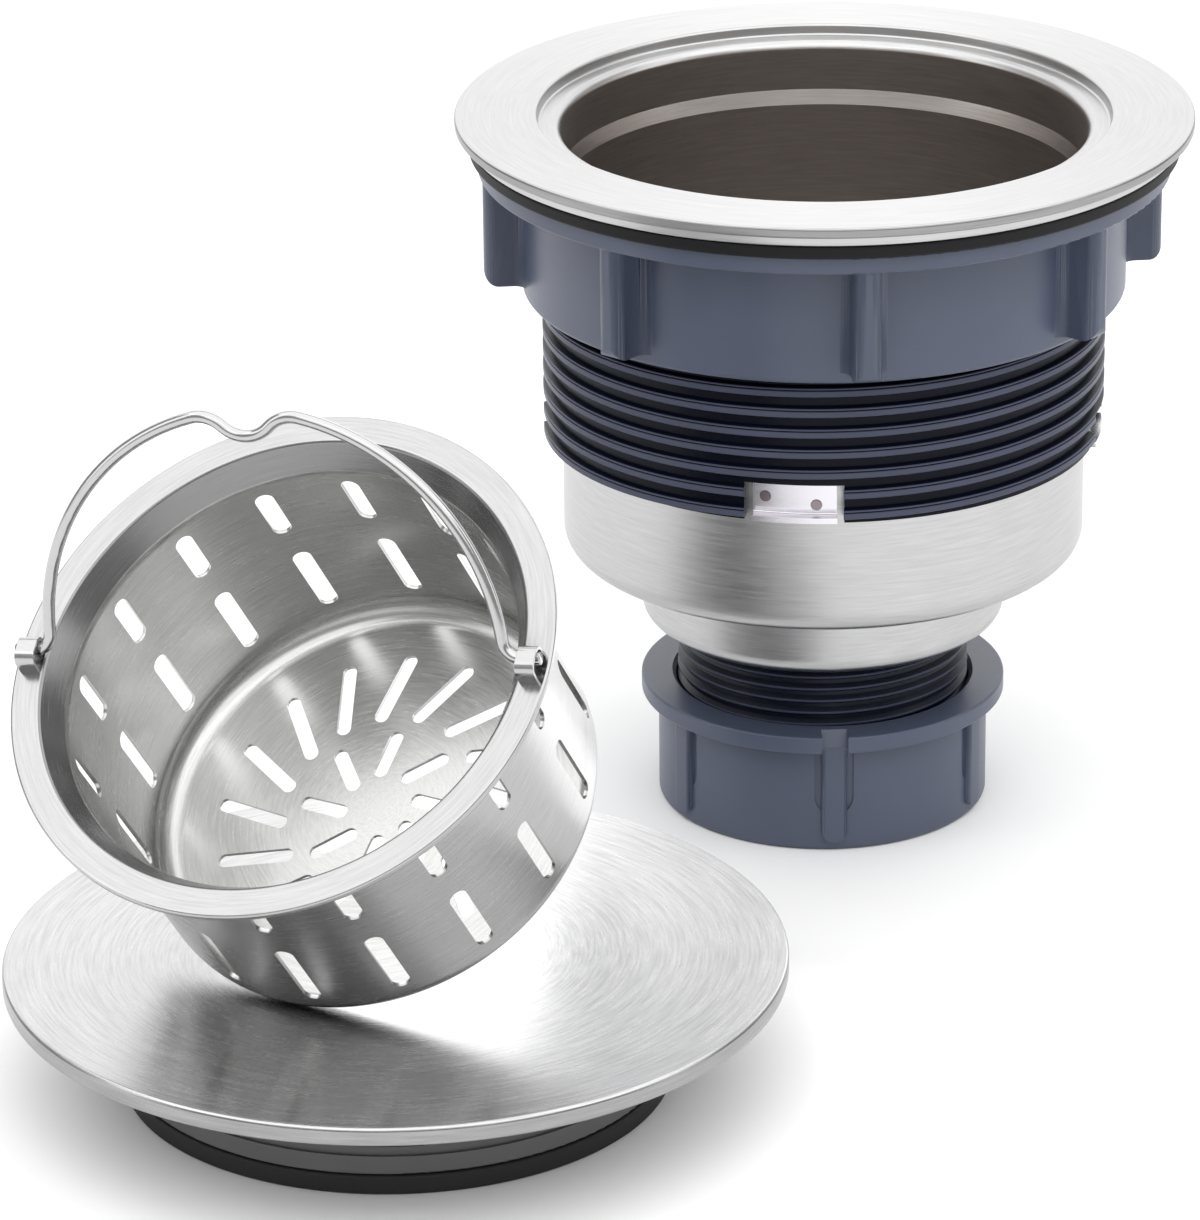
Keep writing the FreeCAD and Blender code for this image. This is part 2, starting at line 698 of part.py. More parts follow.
def basket_cup():
    """Pressed cup with a flat hemmed rim, a conical neck, slotted walls and a slotted floor."""
    inside = [
        (basket_rim_radius, 0, 0),
        (basket_mouth_radius, 0, 2 * edge_round),
        (basket_wall_radius, -basket_neck_depth, basket_neck_round),
        (basket_wall_radius, -basket_depth + basket_sheet, basket_corner_round),
        (0, -basket_depth + basket_sheet, 0),
    ]
    outside = offset_path(inside, -basket_sheet)[1:]
    hem_inner = basket_rim_radius - basket_hem_width
    hem = [
        (hem_inner, -basket_sheet, 0),
        (hem_inner, -basket_hem_thickness, edge_round),
        (basket_rim_radius, -basket_hem_thickness, edge_round),
    ]
    rim_edge = [(basket_rim_radius, 0, edge_round)]
    cup = turned(rim_edge + inside[1:] + outside[::-1] + hem)
    cutters = wall_slots()
    cutters += swirled_slots(outer_floor_slot_count, outer_floor_slot_angle, outer_floor_slot_start,
                             outer_floor_slot_end, outer_floor_slot_swirl)
    cutters += swirled_slots(inner_floor_slot_count, inner_floor_slot_angle, inner_floor_slot_start,
                             inner_floor_slot_end, inner_floor_slot_swirl)
    return cup.cut(cutters)


def bail_ear(angle):
    """Strip bent into a staple over the wire, standing on the rim."""
    outward = polar_point(1, angle)
    sideways = polar_point(1, angle + 90)
    start = outward * ear_inner_radius

    def block(inset, foot):
        half = ear_span / 2 - inset
        top = ear_height - inset
        outline = rounded_face([
            (half, foot, 0),
            (half, top, ear_corner_round - inset),
            (-half, top, ear_corner_round - inset),
            (-half, foot, 0),
        ], lambda u, v: start + sideways * u + Vector(0, 0, v))
        return outline.extrude(outward * ear_width)

    return block(0, 0).cut(block(ear_strip, -overshoot))


def bail_handle():
    """Wire handle: ends in the ears, bends, a half circle, and a shallow finger dip at its top."""
    along = polar_point(1, hinge_angle)
    across = polar_point(1, hinge_angle + 90)
    tilt = math.radians(bail_angle)
    up = across * math.cos(tilt) + Vector(0, 0, 1) * math.sin(tilt)
    place = lambda s, t: Vector(0, 0, hinge_height) + along * s + up * t

    crest_to_centre = bail_radius - bail_crest_round
    centre_t = bail_peak_height - bail_crest_round - math.sqrt(crest_to_centre ** 2 - bail_peak_offset ** 2)
    bend_s = math.sqrt((bail_radius + bail_bend_round) ** 2 - (bail_bend_round - centre_t) ** 2)
    crest_t = bail_peak_height - bail_crest_round
    both_rounds = (bail_peak_offset ** 2 + bail_dip_depth ** 2) / (2 * bail_dip_depth)
    dip_round = both_rounds - bail_crest_round
    dip_t = bail_peak_height - bail_dip_depth + dip_round

    def on_circle(s, t, radius, degrees):
        turn = math.radians(degrees)
        return s + radius * math.cos(turn), t + radius * math.sin(turn)

    bend_turn = math.degrees(math.atan2(bail_bend_round - centre_t, bend_s))
    crest_turn = math.degrees(math.atan2(crest_t - centre_t, bail_peak_offset))
    dip_turn = math.degrees(math.atan2(dip_t - crest_t, -bail_peak_offset))
    arcs = [
        (bend_s, bail_bend_round, bail_bend_round, 270, 180 + bend_turn),
        (0, centre_t, bail_radius, bend_turn, crest_turn),
        (bail_peak_offset, crest_t, bail_crest_round, crest_turn, dip_turn),
        (0, dip_t, dip_round, dip_turn - 180, -dip_turn),
        (-bail_peak_offset, crest_t, bail_crest_round, 180 - dip_turn, 180 - crest_turn),
        (0, centre_t, bail_radius, 180 - crest_turn, 180 - bend_turn),
        (-bend_s, bail_bend_round, bail_bend_round, -bend_turn, -90),
    ]
    edges = [Part.LineSegment(place(wire_reach, 0), place(bend_s, 0)).toShape()]
    for s, t, radius, first, last in arcs:
        three = [place(*on_circle(s, t, radius, turn)) for turn in (first, (first + last) / 2, last)]
        edges.append(Part.Arc(*three).toShape())
    edges.append(Part.LineSegment(place(-bend_s, 0), place(-wire_reach, 0)).toShape())
    section = Part.Wire(Part.makeCircle(wire_diameter / 2, place(wire_reach, 0), along))
    return Part.Wire(edges).makePipeShell([section], True, False)


def stand_basket(shape):
    """Lean the basket on the lid: its lowest corner rounding touches the top of the plate."""
    tilt = math.radians(basket_tilt)
    corner = basket_corner_round + basket_sheet
    wall = basket_wall_radius + basket_sheet
    drop = math.cos(tilt) * (basket_depth - corner) + math.sin(tilt) * (wall - corner) + corner
    height = lid_height + drop + seat_gap
    turn = Rotation(Vector(0, 0, 1), basket_turn) * Rotation(Vector(1, 0, 0), basket_tilt)
    placed = shape.copy()
    placed.Placement = Placement(Vector(basket_x, basket_y, height), turn)
    return placed


def stand_lid(shape):
    return shape.translated(Vector(lid_x, lid_y, 0))


def build_nodes():
    nodes = {
        "strainer_bowl": strainer_bowl(),
        "threaded_sleeve": threaded_sleeve(),
        "sink_gasket": sink_gasket(),
        "lock_nut": lock_nut(),
        "outlet_nipple": outlet_nipple(),
        "outlet_seal": outlet_seal(),
        "slip_washer": slip_washer(),
        "coupling_nut": coupling_nut(),
        "lid_plate": stand_lid(lid_plate()),
        "lid_holder_ring": stand_lid(lid_holder_ring()),
        "lid_seal_ring": stand_lid(lid_seal_ring()),
        "lid_nut": stand_lid(lid_nut()),
        "basket_cup": stand_basket(basket_cup()),
        "bail_ear_right": stand_basket(bail_ear(hinge_angle)),
        "bail_ear_left": stand_basket(bail_ear(hinge_angle + 180)),
        "bail_handle": stand_basket(bail_handle()),
    }
    for number, azimuth in enumerate(notch_azimuths()):
        nodes[f"stop_tab_{number + 1}"] = stop_tab(azimuth)
    return nodes


os.makedirs("parts", exist_ok=True)
for name, shape in build_nodes().items():
    shape.exportStep(f"parts/{name}.step")
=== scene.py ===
import math

import bpy
from mathutils import Matrix, Vector


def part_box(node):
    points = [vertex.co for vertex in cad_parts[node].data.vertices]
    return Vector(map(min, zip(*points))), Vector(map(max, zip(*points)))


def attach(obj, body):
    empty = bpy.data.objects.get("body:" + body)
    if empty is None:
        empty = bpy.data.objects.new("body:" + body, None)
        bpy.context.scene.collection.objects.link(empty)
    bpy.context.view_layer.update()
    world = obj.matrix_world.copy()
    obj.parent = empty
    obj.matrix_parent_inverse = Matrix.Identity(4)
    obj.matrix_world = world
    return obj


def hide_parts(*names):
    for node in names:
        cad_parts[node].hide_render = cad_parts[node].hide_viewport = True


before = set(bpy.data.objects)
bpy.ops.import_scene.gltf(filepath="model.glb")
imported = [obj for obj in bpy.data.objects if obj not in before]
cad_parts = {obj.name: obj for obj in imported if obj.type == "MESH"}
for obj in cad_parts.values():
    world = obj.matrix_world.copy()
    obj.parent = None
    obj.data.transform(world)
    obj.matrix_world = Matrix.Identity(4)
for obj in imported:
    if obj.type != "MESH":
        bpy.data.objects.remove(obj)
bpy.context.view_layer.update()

# Sizes of the pieces are in millimetres and become metres where a mesh is made. Lights are in metres
MM = 0.001
MERGE_DISTANCE = 0.002 * MM
FULL_TURN = 2 * math.pi
TURN_STEPS = 250
ARC_STEPS = 8

# Shading, in degrees: angle from which an edge stays sharp on most pieces, on pieces turned anew, on the
# threads and on the cup
SHARP_ANGLE = 35
SHARP_ANGLE_TURNED = 12
SHARP_ANGLE_THREAD = 30
SHARP_ANGLE_CUP = 20
# Sideways lean of a face's normal below which the face counts as turned about the axis
TURNED_LEAN = 0.1
FACE_WEIGHT = 80

# Photograph: where its camera stood, how far it looked down, its roll and its focal length in pixels
PHOTO_HEIGHT = 1220
CAMERA_AT = Vector((-35.47, -947.12, 418.87))
CAMERA_PITCH = math.radians(22.294)
CAMERA_ROLL = -0.0113
FOCAL_PIXELS = 6424.8
SENSOR = 36.0
CLIP_NEAR, CLIP_FAR = 0.05, 20.0

# Name that many pieces share: the body they ride on
ROOT = "waste_lid_and_basket"

# Threads of the waste: radius of the crest, foot and top are the model's own. A profile goes up over one
# pitch, from the root, as depth below the crest and rise as a share of the pitch. Both threads are
# screwed one turn past each end before they are cut off
SLEEVE_LOW, SLEEVE_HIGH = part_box("threaded_sleeve")
NIPPLE_LOW, NIPPLE_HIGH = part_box("outlet_nipple")
SLEEVE_CREST = SLEEVE_HIGH.x / MM
SLEEVE_FOOT = SLEEVE_LOW.z / MM
SLEEVE_TOP = SLEEVE_HIGH.z / MM
SLEEVE_BORE = 41.3
SLEEVE_PITCH = 3.3
SLEEVE_PROFILE = ((0.95, 0.38), (0.1, 0.10), (0, 0.03), (0, 0.24), (0.28, 0.03), (0.28, 0.03), (0, 0.03),
                  (0, 0.05), (0.95, 0.11))
NIPPLE_CREST = NIPPLE_HIGH.x / MM
NIPPLE_FOOT = NIPPLE_LOW.z / MM
NIPPLE_TOP = NIPPLE_HIGH.z / MM
NIPPLE_BORE = 20.5
NIPPLE_PITCH = 2.0
NIPPLE_PROFILE = ((0.7, 0.30), (0.05, 0.22), (0, 0.04), (0, 0.10), (0.05, 0.04), (0.7, 0.30))
THREAD_STEPS = 96
THREAD_SPARE_TURNS = 2
THREAD_MERGE = 0.01 * MM

# Notches at the sleeve's foot, one for each stop tab, and the box that cuts one: its reach along the
# radius and how far it goes past the crest and the foot
NOTCH_COUNT = 4
NOTCH_AZIMUTH = -8.0
NOTCH_WIDTH = 14.4
NOTCH_HEIGHT = 6.0
NOTCH_REACH = 8.0
NOTCH_MARGIN = 2.0

# Spot welds of the stop tabs: radius of the tab's face, size, and place along the tab and height of each
TAB_FACE = 41.9
WELD_RADIUS = 0.9
WELD_SPOTS = ((-4.5, SLEEVE_FOOT + 3.58), (3.3, SLEEVE_FOOT + 2.48))

# Bands of painted shade and light on the steel: tint, from and to radius, and the height above which it
# shows.
# They paint the sheared edges of flange and lid darker, and tint the inside of the bowl and the inside and
# neck of the cup for the light that falls inside them
BOWL_SHADE_BANDS = (("969696", 57.0, 60.0, 0), ("cec8c4", 0, 40.9, 46.2), ("cec8c4", 0, 37.0, 42.9))
LID_SHADE_BANDS = (("a0a0a0", 57.0, 60.0, -1.0),)
CUP_SHADE_BANDS = (("c3c3c2", 0, 33.9, -41.9), ("8a8a8a", 33.9, 36.45, -4.7))

LID_LOW, LID_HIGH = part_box("lid_plate")
LID_CENTRE = (LID_LOW + LID_HIGH) / 2

# Basket, leaning on the lid: its own frame has its mouth at z = 0 and opens towards +Z
BASKET_AT = Vector((-80.33, -118.02, 71.794)) * MM
BASKET_TURN = math.radians(-28.73)
BASKET_TILT = math.radians(38.62)

# Cup of the basket: (radius, height, rounding) up its outside, around its hem and down its inside
CUP_PROFILE = ((0, -42.2, 0), (34.2, -42.2, 4.0), (34.2, -4.57, 1.9), (36.64, -0.6, 0.2), (39.15, -0.6, 0),
               (39.15, -1.3, 0.4), (40.65, -1.3, 0.4), (40.65, 0, 0.4), (36.3, 0, 0.8), (33.6, -4.4, 2.5),
               (33.6, -41.6, 3.4), (0, -41.6, 0))
CUP_WALL = 33.9
CUP_FLOOR = -41.9

# Slots of the cup. Each row in the wall has its depth below the mouth and its slots' length. Each ring in
# the floor has its count, angle, outer and inner radius, and the angle that a slot swirls over
WALL_SLOT_COUNT = 16
WALL_SLOT_ANGLE = math.radians(145.72)
WALL_SLOT_WIDTH = 2.8
WALL_SLOT_ROWS = ((6.5, 10.1), (22.25, 14.2))
FLOOR_SLOT_WIDTH = 2.2
FLOOR_SLOT_RINGS = ((16, 214.56, 24.13, 15.3, 10.05), (8, 235.07, 11.27, 5.97, 10.6))
CUTTER_SIDES = 32
CUTTER_THICKNESS = 3.0
CUTTER_HALF_LIMIT = 0.01 * MM

# Ears of the bail: angle around the basket in degrees, inner face's radius, width, and reach of the arch
# to both sides of the wire, as it is bent by hand and not quite alike on the two sides
HINGE_ANGLE = 10.6
EARS = {"bail_ear_right": (HINGE_ANGLE, 36.9, 2.85, -3.05, 1.9),
        "bail_ear_left": (HINGE_ANGLE + 180, 36.5, 3.0, -1.9, 2.9)}
EAR_HEIGHT = 3.55
EAR_FOOT = -0.15
EAR_LEAN = 0.2
EAR_ROUND = 1.6
EAR_STRIP = 0.5
EAR_EDGE_ROUND = 0.1
EAR_EDGE_SEGMENTS = 2
EAR_EDGE_ANGLE = math.radians(40)

# Frames of the three axes that the round pieces are turned about
WASTE_FRAME = Matrix.Identity(4)
LID_FRAME = Matrix.Translation((LID_CENTRE.x, LID_CENTRE.y, 0))
BASKET_FRAME = (Matrix.Translation(BASKET_AT) @ Matrix.Rotation(BASKET_TURN, 4, "Z")
                @ Matrix.Rotation(BASKET_TILT, 4, "X"))

# Surfaces: how far the roughness goes below and above its mean and how strong the bump is, the part of
# the brush noise that the shades are spread over, shades and size of a moulding's soft clouds, and how far
# below a thread's crest its painted highlight starts
STEEL_ROUGH_SPREAD = (-0.06, 0.08)
STEEL_BUMP = 0.25
PLASTIC_ROUGH_SPREAD = (-0.05, 0.05)
PLASTIC_BUMP = 0.3
BRUSH_NOISE_SPAN = (0.3, 0.7)
CLOUD_SHADES = (0.9, 1.1)
CLOUD_SIZE = 12
SLEEVE_HIGHLIGHT_DEPTH = 0.2
NIPPLE_HIGHLIGHT_DEPTH = 0.1

# Studio: paper under and behind the pieces, and soft boxes (place, width, height, radiance) that face
# the middle. The reflector card stands between the lid and the waste and faces the lid, which keeps the
# dark waste out of the bright lid
FLOOR_SIZE = 8.0
FLOOR_LEVEL = -0.05 * MM
WORLD_STRENGTH = 0.45
LIGHT_MIDDLE = (0, -0.05, 0.05)
SOFT_BOXES = {
    "back_box": ((0, 1.3, 0.62), 2.6, 1.0, 1.25),
    "top_box": ((0, -0.1, 1.5), 3.2, 2.4, 1.45),
    "front_box": ((0, -1.5, 1.2), 2.6, 1.0, 1.3),
    "left_box": ((-1.0, -0.3, 0.5), 0.4, 0.9, 1.6),
    "right_box": ((1.0, -0.2, 0.5), 0.4, 0.9, 1.6),
}
CARD_AT = Vector((-0.0320, -0.0495, 0.068))
CARD_FACING = Vector((-0.543, -0.840, -0.02))
CARD_WIDTH, CARD_HEIGHT, CARD_RADIANCE = 0.11, 0.10, 1.0


# Tools for meshes

def deselect_all():
    if bpy.context.object and bpy.context.object.mode != "OBJECT":
        bpy.ops.object.mode_set(mode="OBJECT")
    bpy.ops.object.select_all(action="DESELECT")


def make_active(piece):
    deselect_all()
    piece.select_set(True)
    bpy.context.view_layer.objects.active = piece


def open_mesh(piece):
    """Goes into edit mode on a piece, with all of it selected."""
    make_active(piece)
    bpy.ops.object.mode_set(mode="EDIT")
    bpy.ops.mesh.select_all(action="SELECT")


def close_mesh():
    bpy.ops.object.mode_set(mode="OBJECT")


def merge_vertices():
    """Merges what lies together in the open mesh."""
    bpy.ops.mesh.select_all(action="SELECT")
    bpy.ops.mesh.remove_doubles(threshold=MERGE_DISTANCE)


def turn_profile(axis_at):
    """Turns the edges of the open mesh about an upright axis in even steps, and closes the mesh."""
    bpy.ops.mesh.select_all(action="SELECT")
    bpy.ops.mesh.spin(steps=TURN_STEPS, angle=FULL_TURN, center=axis_at, axis=(0, 0, 1),
                      use_auto_merge=True)
    merge_vertices()
    close_mesh()


def settle(piece):
    """Puts the piece's place, turn and size into its mesh, so that its object sits at the origin."""
    make_active(piece)
    bpy.ops.object.transform_apply(location=True, rotation=True, scale=True)
    return piece


def apply_modifiers(piece):
    make_active(piece)
    for modifier in list(piece.modifiers):
        bpy.ops.object.modifier_apply(modifier=modifier.name)


def cut_away(piece, cutter):
    """Takes the cutter's shape out of a piece and removes the cutter."""
    cut = piece.modifiers.new("cut", "BOOLEAN")
    cut.operation = "DIFFERENCE"
    cut.object = cutter
    cut.solver = "EXACT"
    apply_modifiers(piece)
    bpy.data.objects.remove(cutter)


def recalculate_normals(piece):
    open_mesh(piece)
    bpy.ops.mesh.normals_make_consistent(inside=False)
    close_mesh()


def smooth_by_angle(piece, angle=SHARP_ANGLE):
    """Smooth shading that keeps edges sharper than the angle."""
    make_active(piece)
    bpy.ops.object.shade_smooth_by_angle(angle=math.radians(angle), keep_sharp_edges=False)


def weight_normals(piece):
    """Leaves large flat faces flat where they meet small rounded edges."""
    weighted = piece.modifiers.new("weighted normals", "WEIGHTED_NORMAL")
    weighted.keep_sharp = True
    weighted.weight = FACE_WEIGHT
    apply_modifiers(piece)


def turn_normals(piece, axis_frame, angle=SHARP_ANGLE):
    """Exact normals where a surface was turned about the axis of a frame.

    The long triangles between holes and ribs would otherwise shade unevenly. Each face that has no
    sideways lean gets a slope, the slopes are averaged by area around every vertex, and the result is
    turned to the vertex's own place around the axis. All other faces keep their smooth shading.
    """
    mesh = piece.data
    to_local = axis_frame.inverted()
    turn = axis_frame.to_3x3()
    places = [to_local @ vertex.co for vertex in mesh.vertices]
    slopes = []
    around = [[] for vertex in mesh.vertices]
    for face in mesh.polygons:
        normal = turn.transposed() @ face.normal
        centre = to_local @ face.center
        out = Vector((centre.x, centre.y, 0)).normalized()
        lean = out.x * normal.y - out.y * normal.x
        slope = None
        if abs(lean) < TURNED_LEAN:
            slope = Vector((normal.dot(out), normal.z)).normalized()
            for index in face.vertices:
                around[index].append((slope, face.area))
        slopes.append(slope)
    limit = math.cos(math.radians(angle))
    normals = [corner.vector.copy() for corner in mesh.corner_normals]
    for face, slope in zip(mesh.polygons, slopes):
        if slope is None:
            continue
        for loop in face.loop_indices:
            index = mesh.loops[loop].vertex_index
            place = places[index]
            out = Vector((place.x, place.y, 0)).normalized()
            mean = Vector((0, 0))
            for other, area in around[index]:
                if other.dot(slope) > limit:
                    mean += other * area
            mean.normalize()
            normals[loop] = turn @ Vector((out.x * mean.x, out.y * mean.x, mean.y))
    mesh.normals_split_custom_set([normal.normalized() for normal in normals])


def rounded_profile(corners):
    """Points of an open (radius, height, rounding) profile, with its corners rounded."""
    places = [Vector((radius, height)) for radius, height, rounding in corners]
    points = []
    for index, (radius, height, rounding) in enumerate(corners):
        corner = places[index]
        if not rounding:
            points.append(corner)
            continue
        before = (places[index - 1] - corner).normalized()
        after = (places[index + 1] - corner).normalized()
        half_angle = before.angle(after) / 2
        centre = corner + (before + after).normalized() * (rounding / math.sin(half_angle))
        first = corner + before * (rounding / math.tan(half_angle)) - centre
        last = corner + after * (rounding / math.tan(half_angle)) - centre
        for step in range(ARC_STEPS + 1):
            points.append(centre + first.slerp(last, step / ARC_STEPS) * rounding)
    return points


def draw_path(name, points):
    """An object of edges only, drawn from point to point in the plane of X and Z. Its mesh stays open."""
    deselect_all()
    bpy.ops.mesh.primitive_plane_add(size=MM, location=(points[0].x * MM, 0, points[0].y * MM))
    piece = settle(bpy.context.object)
    piece.name = name
    open_mesh(piece)
    bpy.ops.mesh.merge(type="CENTER")
    for place, following in zip(points, points[1:]):
        step = following - place
        bpy.ops.mesh.extrude_region_move(
            TRANSFORM_OT_translate={"value": (step.x * MM, 0, step.y * MM)})
    return piece


# Pieces after the CAD nodes

def finish_piece(piece, material, body, node_name):
    """Gives a piece its material, lets it ride on its body and hides the node it stands for."""
    piece.data.materials.clear()
    piece.data.materials.append(material)
    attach(piece, body)
    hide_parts(node_name)


def merged_copy(node_name):
    """A copy of a CAD node, outside the frame's tree, with its vertices merged."""
    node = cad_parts[node_name]
    piece = node.copy()
    piece.data = node.data.copy()
    piece.name = node_name + "_dressed"
    piece.parent = None
    bpy.context.scene.collection.objects.link(piece)
    for key in list(piece.keys()):
        del piece[key]
    open_mesh(piece)
    bpy.ops.mesh.remove_doubles(threshold=MERGE_DISTANCE)
    close_mesh()
    return piece


def dress(node_name, material, body, axis_frame=None):
    """A smoothly shaded copy of a CAD node, which stands for the node."""
    piece = merged_copy(node_name)
    smooth_by_angle(piece)
    if axis_frame is None:
        weight_normals(piece)
    else:
        turn_normals(piece, axis_frame)
    finish_piece(piece, material, body, node_name)


def turn_again(node_name, material, body, axis_frame):
    """A round piece turned anew in even steps, which stands for the node.

    The node is cut through the seam of its turning, at +X from the axis, and the edges of that cut are
    the profile that is turned.
    """
    piece = merged_copy(node_name)
    axis_at = axis_frame.to_translation()
    open_mesh(piece)
    bpy.ops.mesh.bisect(plane_co=axis_at, plane_no=(0, 1, 0), clear_inner=True, clear_outer=True)
    bpy.ops.mesh.select_all(action="SELECT")
    bpy.ops.mesh.bisect(plane_co=axis_at, plane_no=(1, 0, 0), clear_inner=True)
    merge_vertices()
    turn_profile(axis_at)
    recalculate_normals(piece)
    smooth_by_angle(piece, SHARP_ANGLE_TURNED)
    turn_normals(piece, axis_frame, SHARP_ANGLE_TURNED)
    finish_piece(piece, material, body, node_name)


# Materials

def linear(hex_colour):
    """Linear colour from an sRGB hex value."""
    channels = []
    for start in (0, 2, 4):
        value = int(hex_colour[start:start + 2], 16) / 255
        channels.append(value / 12.92 if value <= 0.04045 else ((value + 0.055) / 1.055) ** 2.4)
    return (*channels, 1.0)


def add_node(tree, kind, settings=None, inputs=None, links=None):
    """Adds a node with its settings, its input values and its links from other sockets."""
    node = tree.nodes.new(kind)
    for name, value in (settings or {}).items():
        setattr(node, name, value)
    for name, value in (inputs or {}).items():
        node.inputs[name].default_value = value
    for name, socket in (links or {}).items():
        tree.links.new(socket, node.inputs[name])
    return node


def calculate(tree, operation, first, second):
    """Result socket of an operation on two sockets or plain numbers."""
    node = add_node(tree, "ShaderNodeMath", {"operation": operation})
    for index, value in enumerate((first, second)):
        if isinstance(value, (int, float)):
            node.inputs[index].default_value = value
        else:
            tree.links.new(value, node.inputs[index])
    return node.outputs["Value"]


def spread(tree, value, to_span, from_span=(0.0, 1.0)):
    """Result socket of a value moved from one span to another."""
    node = add_node(tree, "ShaderNodeMapRange",
                    inputs={"From Min": from_span[0], "From Max": from_span[1],
                            "To Min": to_span[0], "To Max": to_span[1]},
                    links={"Value": value})
    return node.outputs["Result"]


def blend(tree, share, first, second):
    """Colour socket that goes from the first to the second colour as the share rises."""
    node = add_node(tree, "ShaderNodeMix", {"data_type": "RGBA"}, links={"Factor": share})
    for name, value in (("A", first), ("B", second)):
        socket = next(entry for entry in node.inputs if entry.name == name and entry.type == "RGBA")
        if isinstance(value, tuple):
            socket.default_value = value
        else:
            tree.links.new(value, socket)
    return next(entry for entry in node.outputs if entry.type == "RGBA")


def scale_colour(tree, colour, factor):
    """Colour socket made lighter or darker by a factor socket."""
    node = add_node(tree, "ShaderNodeVectorMath", {"operation": "SCALE"}, links={"Scale": factor})
    if isinstance(colour, tuple):
        node.inputs[0].default_value = colour[:3]
    else:
        tree.links.new(colour, node.inputs[0])
    return node.outputs["Vector"]


def new_material(name):
    material = bpy.data.materials.new(name)
    material.use_nodes = True
    tree = material.node_tree
    return material, tree, tree.nodes["Principled BSDF"]


def set_inputs(shader, **values):
    names = {"colour": "Base Color", "metallic": "Metallic", "roughness": "Roughness", "ior": "IOR",
             "specular": "Specular IOR Level", "anisotropic": "Anisotropic"}
    for name, value in values.items():
        shader.inputs[names[name]].default_value = value


def roughen(tree, shader, noise, roughness, roughness_spread, bump_strength, depth):
    """Lets a noise vary the roughness around its mean, and raise a bump of a depth in millimetres."""
    below, above = roughness_spread
    tree.links.new(spread(tree, noise, (roughness + below, roughness + above)),
                   shader.inputs["Roughness"])
    bump = add_node(tree, "ShaderNodeBump", inputs={"Strength": bump_strength, "Distance": depth * MM},
                    links={"Height": noise})
    tree.links.new(bump.outputs["Normal"], shader.inputs["Normal"])


def polar_parts(tree, axis_frame=WASTE_FRAME):
    """Radius, angle and height sockets, in millimetres and radians, around the axis of a frame, and
    the direction that points away from the axis."""
    coordinates = add_node(tree, "ShaderNodeTexCoord")
    moved = add_node(tree, "ShaderNodeMapping", {"vector_type": "TEXTURE"},
                     {"Location": axis_frame.to_translation(), "Rotation": axis_frame.to_euler(),
                      "Scale": (MM, MM, MM)},
                     {"Vector": coordinates.outputs["Object"]})
    parts = add_node(tree, "ShaderNodeSeparateXYZ", links={"Vector": moved.outputs["Vector"]})
    flat = add_node(tree, "ShaderNodeCombineXYZ",
                    links={"X": parts.outputs["X"], "Y": parts.outputs["Y"]})
    radius = add_node(tree, "ShaderNodeVectorMath", {"operation": "LENGTH"},
                      links={"Vector": flat.outputs["Vector"]})
    out = add_node(tree, "ShaderNodeVectorMath", {"operation": "NORMALIZE"},
                   links={"Vector": flat.outputs["Vector"]})
    angle = calculate(tree, "ARCTAN2", parts.outputs["Y"], parts.outputs["X"])
    return radius.outputs["Value"], angle, parts.outputs["Z"], out.outputs["Vector"]


def brush_lines(tree, radius, height, out, line_mm, length_share, edge_radius):
    """Noise drawn out into rings around the axis, with the lines side by side along the profile.

    Radius plus height grows evenly along flat faces and along walls, so one measure serves for both.
    Beyond the edge radius the surface turns down over an outer edge, and height counts the other way.
    """
    beyond = calculate(tree, "GREATER_THAN", radius, edge_radius)
    sign = calculate(tree, "SUBTRACT", 1, calculate(tree, "MULTIPLY", beyond, 2))
    profile = calculate(tree, "ADD", radius, calculate(tree, "MULTIPLY", height, sign))
    along = calculate(tree, "MULTIPLY", profile, 1 / line_mm)
    step = add_node(tree, "ShaderNodeCombineXYZ", links={"Z": along})
    place = add_node(tree, "ShaderNodeVectorMath", {"operation": "MULTIPLY_ADD"},
                     {1: (length_share, length_share, 0)}, {0: out, 2: step.outputs["Vector"]})
    lines = add_node(tree, "ShaderNodeTexNoise", inputs={"Scale": 1.0, "Detail": 3.0, "Roughness": 0.6},
                     links={"Vector": place.outputs["Vector"]})
    return lines.outputs["Fac"]


def painted_shade_band(tree, radius, height, colour, tint, low, high, above):
    """The colour with another tint between two radii and above a height: a band of painted light and
    shade.
    """
    ring = calculate(tree, "MULTIPLY", calculate(tree, "GREATER_THAN", radius, low),
                     calculate(tree, "LESS_THAN", radius, high))
    mask = calculate(tree, "MULTIPLY", ring, calculate(tree, "GREATER_THAN", height, above))
    return blend(tree, mask, colour, linear(tint))


def weld_spots(tree, angle, height):
    """One on the two weld spots of each stop tab, and zero elsewhere."""
    sector = FULL_TURN / NOTCH_COUNT
    turned = calculate(tree, "SUBTRACT", angle, math.radians(NOTCH_AZIMUTH))
    wrap = add_node(tree, "ShaderNodeMath", {"operation": "WRAP"}, {1: sector / 2, 2: -sector / 2},
                    {0: turned})
    along = calculate(tree, "MULTIPLY", wrap.outputs["Value"], TAB_FACE)
    spots = []
    for place, level in WELD_SPOTS:
        offset = add_node(tree, "ShaderNodeCombineXYZ",
                          links={"X": calculate(tree, "SUBTRACT", along, place),
                                 "Y": calculate(tree, "SUBTRACT", height, level)})
        distance = add_node(tree, "ShaderNodeVectorMath", {"operation": "LENGTH"},
                            links={"Vector": offset.outputs["Vector"]})
        spots.append(calculate(tree, "LESS_THAN", distance.outputs["Value"], WELD_RADIUS))
    return calculate(tree, "MAXIMUM", *spots)


